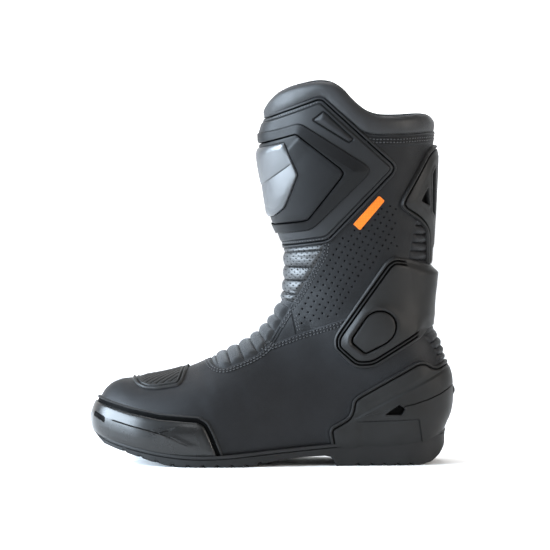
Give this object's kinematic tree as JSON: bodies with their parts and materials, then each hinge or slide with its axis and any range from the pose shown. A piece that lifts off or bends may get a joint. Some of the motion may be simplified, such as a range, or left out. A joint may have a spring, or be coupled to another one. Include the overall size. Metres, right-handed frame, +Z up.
{
  "type": "riding boot",
  "caption": "Left riding boot for a motorcycle: leather upper with moulded shin, calf, ankle, heel and toe armour, soft flex panels, side zip with pull, and closure flap.",
  "frame": {"origin": "on the floor, in the flat underside of the heel, straight below the ankle axis and in the middle plane of the leg shaft", "axes": "+Z up, the toe points towards -X, the outer side of this left boot faces -Y and the inner side with the zip +Y"},
  "size_m": [0.2984, 0.1235, 0.3135],
  "materials": {
    "leather": "smooth dark grey leather, satin",
    "perforated_leather": "dark grey leather with small perforations",
    "bellows_suede": "dark grey suede-like stretch material in pleats",
    "sole_rubber": "black matt rubber",
    "matte_moulding": "dark grey finely grained moulding",
    "gloss_moulding": "near-black glossy moulding",
    "textile": "black textile",
    "foam": "grey covered foam",
    "label": "orange woven tag, plain",
    "dark_metal": "dark nickel metal"
  },
  "bodies": {
    "foot": {"outsole": "sole_rubber", "insole_board": "textile", "shank": "dark_metal", "footbed": "foam", "toe_puff": "textile", "heel_stiffener": "textile", "vamp": "leather", "heel_quarter_lateral": "leather", "heel_quarter_medial": "leather", "heel_counter": "matte_moulding", "toe_slider": "gloss_moulding", "toe_slider_gasket": "gloss_moulding", "shift_pad": "matte_moulding", "instep_bellows": "bellows_suede", "achilles_bellows": "bellows_suede"},
    "shaft": {"ankle_cap": "matte_moulding", "ankle_pad_lateral": "foam", "ankle_pad_medial": "foam", "ankle_shell": "matte_moulding", "calf_bellows": "bellows_suede", "calf_guard": "matte_moulding", "collar": "leather", "flap_anchor": "leather", "label_tag": "label", "lining": "textile", "loop_patch": "textile", "medial_ankle_disc": "matte_moulding", "quarter_lateral": "perforated_leather", "quarter_medial": "leather", "shin_flex_panel": "perforated_leather", "shin_guard_base": "matte_moulding", "shin_guard_facet": "gloss_moulding", "shin_guard_frame": "matte_moulding", "shin_guard_insert": "gloss_moulding", "zip_bottom_stop": "dark_metal", "zip_chain": "dark_metal", "zip_tape_front": "textile", "zip_tape_rear": "textile", "zip_top_stop": "dark_metal"},
    "zip_slider": {"zip_slider": "dark_metal"},
    "zip_pull": {"zip_pull": "dark_metal"},
    "flap": {"closure_flap": "leather", "hook_patch": "textile"}
  },
  "joints": [
    {"name": "ankle_flex", "type": "hinge", "parent": "foot", "child": "shaft", "pos_m": [0, 0, 0.1085], "axis": [0, -1, 0], "range_deg": [-10, 15], "stiffness_Nm_per_rad": 6, "deforming": ["quarter_lateral", "quarter_medial", "vamp", "heel_quarter_lateral", "heel_quarter_medial", "instep_bellows", "achilles_bellows", "shin_flex_panel", "calf_bellows", "lining", "ankle_pad_lateral", "ankle_pad_medial", "zip_tape_front", "zip_tape_rear"]},
    {"name": "zip_run", "type": "slide", "parent": "shaft", "child": "zip_slider", "axis": [-0.0414, -0.1092, -0.9932], "range_m": [0, 0.08]},
    {"name": "zip_pull_swing", "type": "hinge", "parent": "zip_slider", "child": "zip_pull", "pos_m": [0.00682, 0.05486, 0.22843], "axis": [0.973, -0.2301, -0.0152], "range_deg": [0, 150]},
    {"name": "closure_flap", "type": "hinge", "parent": "shaft", "child": "flap", "pos_m": [-0.01708, 0.05876, 0.24241], "axis": [0.0021, 0.0975, 0.9952], "range_deg": [0, 115], "stiffness_Nm_per_rad": 0.02}
  ]
}
